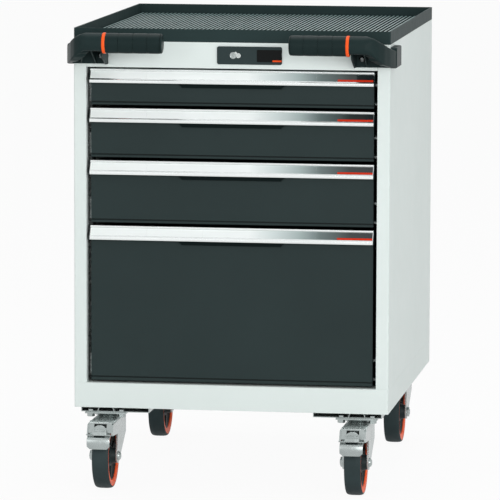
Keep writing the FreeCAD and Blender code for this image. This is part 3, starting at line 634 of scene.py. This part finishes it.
def bracket_side(shape):
    """Plate beside the carcass, its outer face rounded at the edges."""
    low, high, far = 659.0, 697.8, 74.0
    corner = 7.0
    front_corner = 9.0
    outline = [(-0.5, low)] + arc(far - corner, low + corner, corner, 270, 360, 6)
    outline += arc(far - corner, high - corner, corner, 0, 90, 6)
    outline += arc(8.5, high - front_corner, front_corner, 90, 180, 6)
    # x, and how far the edges draw in there
    rounding = ((HALF_WIDTH, 0.0), (SIDE - 3.0, 0.0), (SIDE - 1.8, 0.25), (SIDE - 0.8, 0.9),
                (SIDE - 0.2, 1.8), (SIDE, 3.0))
    mid_z = (low + high) / 2
    rings = []
    for x, inset in rounding:
        foot = low + min(inset, 1.0)
        rings.append([(x, min(y, far - inset), min(z, high - inset) if z > mid_z else max(z, foot))
                      for y, z in outline])
    shape.loft(rings)


def bracket_webs(shape):
    """Plate against the header, roof, end wall and the two ribs below the roof."""
    shape.block(BRACKET_INNER, HALF_WIDTH, -4.0, 0.0, PLATE_FOOT, ROOF)
    path = [arm_station(i)[0] for i in range(len(ARM_SECTIONS) - 1)]
    outline = [(p.x, p.y) for p in path] + [(HALF_WIDTH, 0.0), (BRACKET_INNER, 0.0), (BRACKET_INNER, GRIP_Y)]
    web = 3.0
    shape.along_z(outline, ROOF - web, ROOF)
    end_wall = [(0.0, PLATE_FOOT), (0.0, ROOF - 1), (GRIP_Y, ROOF - 1), (GRIP_Y, ROOF - 16.0),
                (-20.0, PLATE_FOOT)]
    shape.along_x(end_wall, BRACKET_INNER, BRACKET_INNER + web)
    rib_thickness = 2.4
    for x, lean, reach in ((258.0, 0.0, 60.0), (287.0, 15.0, 59.0)):
        rib = [(0.0, PLATE_FOOT), (0.0, ROOF - 1), (-reach, ROOF - 1), (-reach, ROOF - 6.0),
               (-4.0, PLATE_FOOT)]
        shape.loft([[(x + side + lean * y / reach, y, z) for y, z in rib] for side in (0.0, rib_thickness)])


def handle_brackets():
    shape = Shape()
    bracket_arm(shape)
    bracket_side(shape)
    bracket_webs(shape)
    shape.mirror()
    shape.piece("handle_brackets", "cabinet", "black_plastic", [BRACKET], replaces=("handle_arms",),
                bevel=0.5, angle=40)

    head = [(-8.2, 0.0), (-8.2, 2.1), (-6.6, 2.3), (-6.6, 2.9), (-8.0, 3.1), (-7.7, 4.4), (-6.8, 5.2),
            (-5.6, 5.4), (-4.0, 5.4), (-4.0, 0.0)]
    screws = Shape().lathe(head, (249.5, 0.0, 676.0), axis="y", steps=36).mirror()
    screws.piece("bracket_screws", "cabinet", "zinc_steel", [SCREW], angle=45)


handle_brackets()


def grip_pieces():
    """Sleeves with an end cap and three grooves, faintly barrelled between them, and the orange bands."""
    inner_end = 120.0
    band_place = 228.0
    length = 107.8
    radius = 18.75
    swell = 0.3
    steps = 6
    outline = [(0.0, 0.0), (0.0, 13.5), (0.25, 15.6), (0.9, 17.2), (1.9, 18.3), (2.7, 18.65), (2.9, 17.3),
               (3.8, 17.3), (4.0, radius)]
    left = 4.4
    for groove in (28.0, 55.0, 83.0, length):
        right = groove - 0.5 if groove < length else length
        for i in range(steps + 1):
            share = i / steps
            bulge = swell * math.sin(math.pi * share) ** 0.6 if 0 < i < steps else 0.0
            outline.append((left + (right - left) * share, radius + bulge))
        if groove < length:
            outline += [(groove - 0.35, 17.9), (groove + 0.35, 17.9)]
        left = groove + 0.5
    outline.append((length, 0.0))
    sleeves = Shape().lathe(outline, (inner_end, GRIP_Y, GRIP_Z), steps=80).mirror()
    sleeves.piece("grip_sleeves", "cabinet", "black_plastic", [PLASTIC], replaces=("handle_grips",), angle=50)

    outline = [(0.0, 17.0), (0.0, 18.9), (0.3, 19.4), (0.9, 19.75), (3.0, 19.9), (5.1, 19.75), (5.7, 19.4),
               (6.0, 18.9), (6.0, 17.0)]
    bands = Shape().lathe(outline, (band_place, GRIP_Y, GRIP_Z), steps=80, closed=True).mirror()
    bands.piece("grip_bands", "cabinet", "orange_plastic", [ORANGE], replaces=("grip_rings",), angle=50)


grip_pieces()


# Casters

def fork_edges(pivot, braked):
    """Front and rear edge of a fork arm at each height, as (z, front y, rear y), from the crown down."""
    axle = pivot - TRAIL
    boss = 14.0                 # radius of the arm round the axle
    front, front_bottom = pivot - FORK_FRONT, FORK_TOP - 30.0
    rear, rear_bottom = pivot + FORK_REAR, FORK_TOP - 38.0

    def tangent(from_y, level):
        """Where the line from the foot of an upright edge touches the boss."""
        dy, dz = from_y - axle, level - AXLE_Z
        swing = math.acos(boss / math.hypot(dy, dz))
        side = -1 if dy > 0 else 1
        a = math.atan2(dz, dy) + side * swing
        return axle + boss * math.cos(a), AXLE_Z + boss * math.sin(a)

    def edge(z, upright, level, touch, side):
        """y of an edge: upright down to a level, then straight to the boss, then round it."""
        if z >= level:
            return upright
        if z > touch[1]:
            share = (level - z) / (level - touch[1])
            return upright + (touch[0] - upright) * share
        if abs(z - AXLE_Z) >= boss:
            return axle
        return axle + side * (boss * math.cos(math.asin(max(-1.0, min(1.0, (z - AXLE_Z) / boss)))))

    rear_touch = tangent(rear, rear_bottom)
    front_touch = tangent(front, front_bottom)
    rows = []
    levels = [FORK_TOP - 6.0]
    if braked:
        levels += [-30.0, -36.0, -41.0, -44.9]
    levels += [front_bottom] + [front_bottom - 4.0 * i for i in range(1, 11)]
    levels += [AXLE_Z - boss * math.sin(math.radians(a)) for a in (10, 30, 50, 65, 78, 88)]
    for z in levels:
        if braked and z > front_bottom + 0.1:
            f = pivot - 95.0 - 12.0 * min(1.0, (FORK_TOP - z) / 22.0)
        else:
            f = edge(z, front, front_bottom, front_touch, -1)
        rows.append((z, f, edge(z, rear, rear_bottom, rear_touch, 1)))
    return rows


def fork_sheet(shape, x, pivot, braked):
    """Crown and arms as one bent sheet: stations across the fork, points from its front to its rear edge."""
    mid = 23.6                  # from the middle plane to the middle of an arm's sheet
    bend = 5.5
    top = FORK_TOP - 1.5
    front = pivot - (BRAKED_FRONT if braked else FORK_FRONT)
    rear = pivot + FORK_REAR
    right = [(u, top, front, rear) for u in (0.0, 8.0, mid - bend - 2.0)]
    for step in range(1, 6):
        a = math.radians(90 * step / 6)
        right.append((mid - bend + bend * math.sin(a), top - bend + bend * math.cos(a), front, rear))
    right += [(mid, z, f, r) for z, f, r in fork_edges(pivot, braked)]
    stations = [(-u, z, f, r) for u, z, f, r in right[:0:-1]] + right
    cells = 12
    points = [(x + u, f + (r - f) * (j / cells), z) for u, z, f, r in stations for j in range(cells + 1)]
    faces = []
    row = cells + 1
    for i in range(len(stations) - 1):
        for j in range(cells):
            a = i * row + j
            faces.append((a, a + 1, a + row + 1, a + row))
    shape.skin(points, faces)


def sloping_plate(shape, x, pivot):
    """Front of a braked fork: bends down from the crown, with two openings, a bar between them."""
    rows = [(-86.0, -20.5), (-90.0, -20.6), (-92.4, -21.2), (-94.3, -22.4), (-95.6, -24.4), (-96.7, -26.6),
            (-99.3, -31.5), (-102.2, -36.6), (-104.2, -40.2)]
    columns = (-22.0, -12.0, 12.0, 22.0)
    open_rows = (4, 5, 7)       # left open in the middle column
    points = [(x + c, pivot + y, z) for y, z in rows for c in columns]
    faces = []
    row = len(columns)
    for i in range(len(rows) - 1):
        for j in range(row - 1):
            if j == 1 and i in open_rows:
                continue
            a = i * row + j
            faces.append((a, a + 1, a + row + 1, a + row))
    shape.skin(points, faces)


def caster_fork(name, x, pivot, braked):
    sheet = 3.0
    shape = Shape()
    fork_sheet(shape, x, pivot, braked)
    if braked:
        sloping_plate(shape, x, pivot)
    shape.piece("fork_" + name, "caster_" + name, "zinc_steel", [ZINC],
                replaces=("caster_fork_" + name,), bevel=0.7, angle=40, thick=sheet)


def caster_axle(name, x, pivot, side):
    """Bolt with a domed head on the given side, a hexagon nut and a thread end on the other, and washers."""
    y = pivot - TRAIL
    centre = (x, y, AXLE_Z)
    nut_width = 17.0
    shape = Shape()
    shape.lathe([(-21.4, 0.0), (-21.4, 5.0), (21.4, 5.0), (21.4, 0.0)], centre, steps=32)
    washer = [(24.55, 0.0), (24.55, 9.6), (25.6, 9.6), (25.6, 0.0)]
    shape.lathe([(side * a, r) for a, r in washer], centre, steps=48)
    dome = [(25.6, 0.0), (25.6, 8.6), (26.6, 8.5), (28.2, 7.7), (29.6, 6.0), (30.4, 3.6), (30.7, 0.0)]
    shape.lathe([(side * a, r) for a, r in dome], centre, steps=48)
    shape.lathe([(-side * a, r) for a, r in washer], centre, steps=48)
    hexagon = arc(0.0, 0.0, nut_width / math.sqrt(3), 30, 330, 5)
    rings = []
    for a, scale in ((25.6, 1.0), (29.2, 1.0), (29.9, 0.9)):
        rings.append([(x - side * a, y + u * scale, AXLE_Z + v * scale) for u, v in hexagon])
    shape.loft(rings)
    tip = [(29.5, 0.0), (29.5, 5.0), (30.6, 5.0), (30.9, 4.4), (30.9, 0.0)]
    shape.lathe([(-side * a, r) for a, r in tip], centre, steps=32)
    shape.piece("axle_bolt_" + name, "caster_" + name, "zinc_steel", [ZINC],
                replaces=("caster_axle_" + name,), bevel=0.25, angle=35)


# Outlines of a wheel's right half as (place along the axle, radius), and of a rib with its half thickness
TYRE_FOOT = (12.6, 50.5)
TYRE_SHOULDER = ((13.6, 56.6), (15.8, 57.9), (16.0, 58.6), (15.7, 59.6), (14.8, 60.6), (13.2, 61.4),
                 (10.8, 62.0), (7.6, 62.4), (4.0, 62.5))
TYRE_BAND = ((13.9, 46.4), (14.3, 47.0), (15.0, 51.0), (15.6, 55.0), (16.0, 57.4), (15.8, 58.0), (15.0, 58.2),
             (13.2, 56.8), (12.4, 51.0), (11.8, 46.4))
WHEEL_CORE = ((12.8, 49.5), (13.2, 48.0), (12.9, 46.8), (10.6, 44.6), (8.8, 41.5), (8.0, 36.0), (7.8, 28.0),
              (8.4, 22.0), (10.5, 17.5), (14.0, 15.6), (18.5, 14.6), (20.6, 14.0), (21.0, 13.2), (21.0, 5.1))
WHEEL_RIB = ((7.0, 20.0, 1.6), (12.0, 20.0, 1.2), (10.6, 42.5, 1.2), (7.0, 42.5, 1.6))
WHEEL_RIBS = 6


def other_side(outline):
    return [(-along, radius) for along, radius in outline]


def wheel(name, x, pivot):
    """Tyre, the orange bands beside its tread, and the core with its ribs."""
    y = pivot - TRAIL
    centre = (x, y, AXLE_Z)
    body = "wheel_" + name
    half = [TYRE_FOOT, *TYRE_SHOULDER]
    tyre = Shape().lathe(half + other_side(half)[::-1], centre, steps=112, closed=True)
    tyre.piece("tyre_skin_" + name, body, "tyre_rubber", [TYRE], replaces=("tyre_" + name,), angle=60)

    bands = Shape()
    for outline in (TYRE_BAND, other_side(TYRE_BAND)):
        bands.lathe(outline, centre, steps=112, closed=True)
    bands.piece("tyre_band_" + name, body, "orange_plastic", [ORANGE], angle=60)

    core = Shape().lathe([*WHEEL_CORE[::-1], *other_side(WHEEL_CORE)], centre, steps=96, closed=True)
    for i in range(WHEEL_RIBS):
        a = 2 * math.pi * (i + 0.5) / WHEEL_RIBS
        for side in (-1, 1):
            rings = []
            for sign in (1, -1):
                ring = []
                for along, r, w in WHEEL_RIB:
                    ring.append((x + side * along, y + r * math.cos(a) - sign * w * math.sin(a),
                                 AXLE_Z + r * math.sin(a) + sign * w * math.cos(a)))
                rings.append(ring)
            core.loft(rings)
    core.piece("wheel_disc_" + name, body, "core_plastic", [CORE], replaces=("wheel_core_" + name,), angle=40)


def pedal(name, x, pivot):
    """Foot pedal: lever and claw inside the fork, wings beside it, the curved toe and a ribbed tab."""
    shape = Shape()

    def across(outline, left, right):
        """Add a strip along x; the outline's y counts from the pivot."""
        shape.along_x([(pivot + a, b) for a, b in outline], x + left, x + right)

    def spread(half, count):
        return [-half + 2 * half * i / count for i in range(count + 1)]

    inside = 20.0               # half the width between the fork's arms that the lever takes
    across([(-66.2, -26.5), (-112.0, -42.0), (-112.0, -44.0), (-66.2, -28.5)], -inside, inside)
    across([(-64.2, -26.8), (-64.2, -33.3), (-71.8, -33.3), (-73.8, -31.3), (-73.8, -25.7), (-71.8, -25.7),
            (-71.8, -31.3), (-66.2, -31.3), (-66.2, -26.8)], -inside, inside)
    wing = [(-26.0, -110.5), (-22.0, -118.0), (-12.5, -118.0), (-11.0, -115.5), (11.0, -115.5),
            (12.5, -118.0), (22.0, -118.0), (26.0, -110.5), (20.0, -108.5), (-20.0, -108.5)]
    shape.along_z([(x + u, pivot + v) for u, v in wing], -43.6, -41.6)
    strap = [(-112.5, -42.0), (-124.0, -47.6), (-124.8, -49.2), (-123.4, -50.0), (-112.5, -44.4)]
    for left, right in ((-22.0, -11.5), (11.5, 22.0)):
        across(strap, left, right)

    sheet = 2.0
    toe_half = 22.0
    corner = 7.0                # radius of the lower corners of the toe
    corner_top = -61.5
    hollow = 1.3                # how far the toe's ends stand behind its middle
    front = [(-123.6, -46.6), (-125.2, -47.6), (-126.3, -50.2), (-127.1, -54.5), (-127.2, -59.0),
             (-126.5, -63.6), (-125.2, -68.4)]
    rings = []
    for a, b in front:
        half = toe_half
        if b < corner_top:
            drop = (corner_top - b) / corner
            half = toe_half - corner * (1 - math.sqrt(max(0.0, 1 - drop ** 2)))
        face = [(u, pivot + a + hollow * (u / toe_half) ** 2) for u in spread(half, 12)]
        back = b + (0.6 if (a, b) == front[0] else 0.0)
        rings.append([(x + u, y, b) for u, y in face] + [(x + u, y + sheet, back) for u, y in face[::-1]])
    shape.loft(rings)

    tab_half = 14.0
    tab = [(-113.5, -42.0), (-112.0, -38.5), (-110.4, -35.2), (-108.4, -31.6), (-106.6, -28.6),
           (-105.2, -26.4), (-104.2, -24.9)]
    rings = []
    for a, b in tab:
        lift = max(0.0, (b + 36.5) / 12.0)
        half = tab_half * math.sqrt(max(0.04, 1 - min(1.0, lift) ** 2))
        places = spread(half, 10)
        rings.append([(x + u, pivot + a - 1.4 * (1 - (u / half) ** 2), b) for u in places]
                     + [(x + u, pivot + a + sheet, b - 0.8) for u in places[::-1]])
    shape.loft(rings)
    for a, b in ((-109.6, -31.0), (-111.4, -34.6)):
        across([(a, b), (a - 1.0, b - 0.5), (a - 1.0, b - 1.5), (a + 0.4, b - 2.0)], -10.5, 10.5)
    shape.piece("foot_pedal_" + name, "pedal_" + name, "zinc_steel", [ZINC],
                replaces=("brake_pedal_" + name,), bevel=0.35, angle=40)


for name, (x, pivot, braked) in CASTERS.items():
    caster_fork(name, x, pivot, braked)
    caster_axle(name, x, pivot, 1 if braked or x < 0 else -1)
    wheel(name, x, pivot)
    if braked:
        pedal(name, x, pivot)


def race_cups():
    """Pressed cup round each ball race."""
    cup = [(-12.0, 20.0), (-12.0, 31.0), (-12.8, 32.2), (-14.2, 32.4), (-15.6, 31.6), (-16.6, 30.0),
           (-17.2, 28.6), (-18.3, 28.3), (-18.5, 27.5), (-18.5, 20.0)]
    shape = Shape()
    for x, pivot, braked in CASTERS.values():
        shape.lathe(cup, (x, pivot, 0.0), axis="z", steps=64, closed=True)
    shape.piece("race_cups", "cabinet", "zinc_steel", [ZINC], angle=50)


race_cups()


# Camera, light and floor

def camera():
    """Camera fitted to the corners of the carcass in the photograph."""
    data = bpy.data.cameras.new("camera")
    data.lens = 324.75
    data.sensor_width = 36.0
    data.clip_end = 100.0
    obj = bpy.data.objects.new("camera", data)
    bpy.context.scene.collection.objects.link(obj)
    yaw, pitch, roll = (math.radians(a) for a in (8.4468, 6.8204, 0.1682))
    ahead = Vector((-math.sin(yaw) * math.cos(pitch), math.cos(yaw) * math.cos(pitch), -math.sin(pitch)))
    right = Vector((math.cos(yaw), math.sin(yaw), 0.0))
    up = right.cross(ahead)
    right, up = right * math.cos(roll) + up * math.sin(roll), up * math.cos(roll) - right * math.sin(roll)
    turn = Matrix((right, up, -ahead)).transposed()
    obj.matrix_world = Matrix.Translation(spot(1284.8, -8404.1, 1325.7)) @ turn.to_4x4()
    bpy.context.scene.camera = obj


def lamp(name, place, target, size, power):
    """Soft rectangular light; place and target in metres in the row frame, power in watts."""
    data = bpy.data.lights.new(name, "AREA")
    data.shape = "RECTANGLE"
    data.size, data.size_y = size
    data.energy = power
    obj = bpy.data.objects.new(name, data)
    bpy.context.scene.collection.objects.link(obj)
    obj.location = place
    obj.rotation_euler = (Vector(target) - Vector(place)).to_track_quat("-Z", "Y").to_euler()


def seen_directly(tree):
    """1 where a camera, mirror or glass ray meets the backdrop."""
    path = tree.nodes.new("ShaderNodeLightPath")
    first = tree.nodes.new("ShaderNodeMath")
    first.operation = "MAXIMUM"
    socket_link(tree, path.outputs["Is Camera Ray"], first.inputs[0])
    socket_link(tree, path.outputs["Is Glossy Ray"], first.inputs[1])
    both = tree.nodes.new("ShaderNodeMath")
    both.operation = "MAXIMUM"
    socket_link(tree, first.outputs[0], both.inputs[0])
    socket_link(tree, path.outputs["Is Transmission Ray"], both.inputs[1])
    return both.outputs[0]


def background():
    """White to the camera and in reflections, and dimmer where it lights the part."""
    world = bpy.data.worlds.new("studio")
    bpy.context.scene.world = world
    world.use_nodes = True
    tree = world.node_tree
    lit = tree.nodes["Background"]
    lit.inputs["Color"].default_value = (0.97, 0.99, 1.0, 1.0)
    lit.inputs["Strength"].default_value = 0.52
    shown = tree.nodes.new("ShaderNodeBackground")
    shown.inputs["Color"].default_value = (1.0, 1.0, 1.0, 1.0)
    shown.inputs["Strength"].default_value = 1.0
    mix = tree.nodes.new("ShaderNodeMixShader")
    socket_link(tree, seen_directly(tree), mix.inputs["Fac"])
    socket_link(tree, lit.outputs["Background"], mix.inputs[1])
    socket_link(tree, shown.outputs["Background"], mix.inputs[2])
    socket_link(tree, mix.outputs["Shader"], tree.nodes["World Output"].inputs["Surface"])


def white_floor():
    """Plain floor that glows where it is seen, but for a share that takes the part's shadow."""
    bpy.ops.mesh.primitive_plane_add(size=60.0, location=(0.0, 0.0, 0.0))
    floor = bpy.context.object
    floor.name = "floor"
    mat = bpy.data.materials.new("floor_white")
    mat.use_nodes = True
    tree = mat.node_tree
    shader = tree.nodes["Principled BSDF"]
    shader.inputs["Base Color"].default_value = (0.72, 0.72, 0.72, 1.0)
    shader.inputs["Roughness"].default_value = 0.9
    glow = tree.nodes.new("ShaderNodeEmission")
    glow.inputs["Color"].default_value = (1.0, 1.0, 1.0, 1.0)
    glow.inputs["Strength"].default_value = 1.0
    share = tree.nodes.new("ShaderNodeMath")
    share.operation = "MULTIPLY"
    share.inputs[1].default_value = 0.94
    socket_link(tree, seen_directly(tree), share.inputs[0])
    mix = tree.nodes.new("ShaderNodeMixShader")
    socket_link(tree, share.outputs[0], mix.inputs["Fac"])
    socket_link(tree, shader.outputs["BSDF"], mix.inputs[1])
    socket_link(tree, glow.outputs["Emission"], mix.inputs[2])
    socket_link(tree, mix.outputs["Shader"], tree.nodes["Material Output"].inputs["Surface"])
    floor.data.materials.append(mat)


camera()
background()
white_floor()
MIDDLE = (0.0, 0.0, 0.5)
lamp("key", (1.5, -5.6, 1.7), MIDDLE, (2.2, 2.4), 84.0)
lamp("fill", (3.8, -4.2, 1.3), MIDDLE, (1.8, 2.0), 50.0)
lamp("left", (-2.8, -5.0, 1.6), MIDDLE, (1.8, 2.0), 26.0)
lamp("side", (4.5, -1.2, 1.0), MIDDLE, (0.8, 1.0), 4.0)
lamp("top", (0.0, 0.4, 3.6), (0.0, 0.1, 0.6), (2.4, 2.4), 40.0)
bpy.context.scene.view_settings.view_transform = "Standard"
